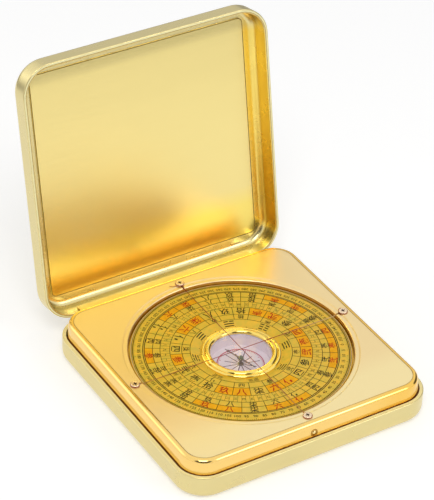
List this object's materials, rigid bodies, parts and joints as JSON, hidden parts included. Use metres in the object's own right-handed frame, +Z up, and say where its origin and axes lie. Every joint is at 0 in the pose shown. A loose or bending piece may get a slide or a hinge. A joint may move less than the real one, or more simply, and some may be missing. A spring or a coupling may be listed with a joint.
{
  "type": "feng shui compass",
  "caption": "Pocket geomantic compass in a hinged square metal case: a turning printed dial with crosshair threads over it and a glazed needle capsule in its middle.",
  "frame": {"origin": "middle of the case's flat underside, where it rests on a table", "axes": "+Z up from the table, +X along the lid's hinge, +Y from the catch to the hinge"},
  "size_m": [0.075, 0.0967, 0.0799],
  "materials": {
    "shell_champagne": "satin gold lacquer over pressed metal",
    "body_gold": "polished gold plate",
    "deck_satin": "satin gold plate",
    "liner_satin": "satin gold plate, faintly grained",
    "well_brass": "plain pressed brass",
    "bush_brass": "turned brass",
    "cup_pale": "moulded pale plastic",
    "felt": "thin felt",
    "screw_metal": "small plated screw",
    "thread_red": "red-brown thread",
    "hinge_brass": "plated hinge strip",
    "pin_steel": "drawn wire",
    "catch_metal": "polished plate",
    "spring_steel": "spring wire",
    "dial_print": "printed and clear-lacquered yellow metal",
    "card_white": "printed card",
    "glass_clear": "clear flat glass",
    "bezel_gold": "mirror-polished gold plate",
    "needle_steel": "darkened steel"
  },
  "bodies": {
    "case": {"base_shell": "shell_champagne", "body_frame": "body_gold", "deck_plate": "deck_satin", "dial_well": "well_brass", "well_bush": "bush_brass", "glide_ring": "felt", "thread_screws": "screw_metal", "crosshair_thread_x": "thread_red", "crosshair_thread_y": "thread_red", "hinge_leaf_base": "hinge_brass", "hinge_pin": "pin_steel", "catch_sleeve": "catch_metal", "catch_spring": "spring_steel"},
    "lid": {"lid_shell": "shell_champagne", "lid_liner": "liner_satin", "hinge_leaf_lid": "hinge_brass"},
    "dial": {"dial_disc": "dial_print", "capsule_cup": "cup_pale", "retaining_clip": "spring_steel", "compass_card": "card_white", "needle_pivot": "needle_steel", "capsule_glass": "glass_clear", "bezel_ring": "bezel_gold"},
    "needle": {"needle": "needle_steel", "needle_cap": "needle_steel"},
    "catch": {"catch_ball": "catch_metal"}
  },
  "joints": [
    {"name": "lid_hinge", "type": "hinge", "parent": "case", "child": "lid", "pos_m": [0, 0.0379, 0.00595], "axis": [1, 0, 0], "range_deg": [0, 100.3]},
    {"name": "dial_spin", "type": "hinge", "parent": "case", "child": "dial", "pos_m": [0, 0, 0.009], "axis": [0, 0, 1], "continuous": true},
    {"name": "needle_spin", "type": "hinge", "parent": "dial", "child": "needle", "pos_m": [0, 0, 0.0075], "axis": [0, 0, 1], "continuous": true},
    {"name": "catch_press", "type": "slide", "parent": "case", "child": "catch", "axis": [0, 1, 0], "range_m": [0, 0.0003], "stiffness_N_per_m": 200, "springref_m": -0.0005, "deforming": ["catch_spring"]}
  ]
}
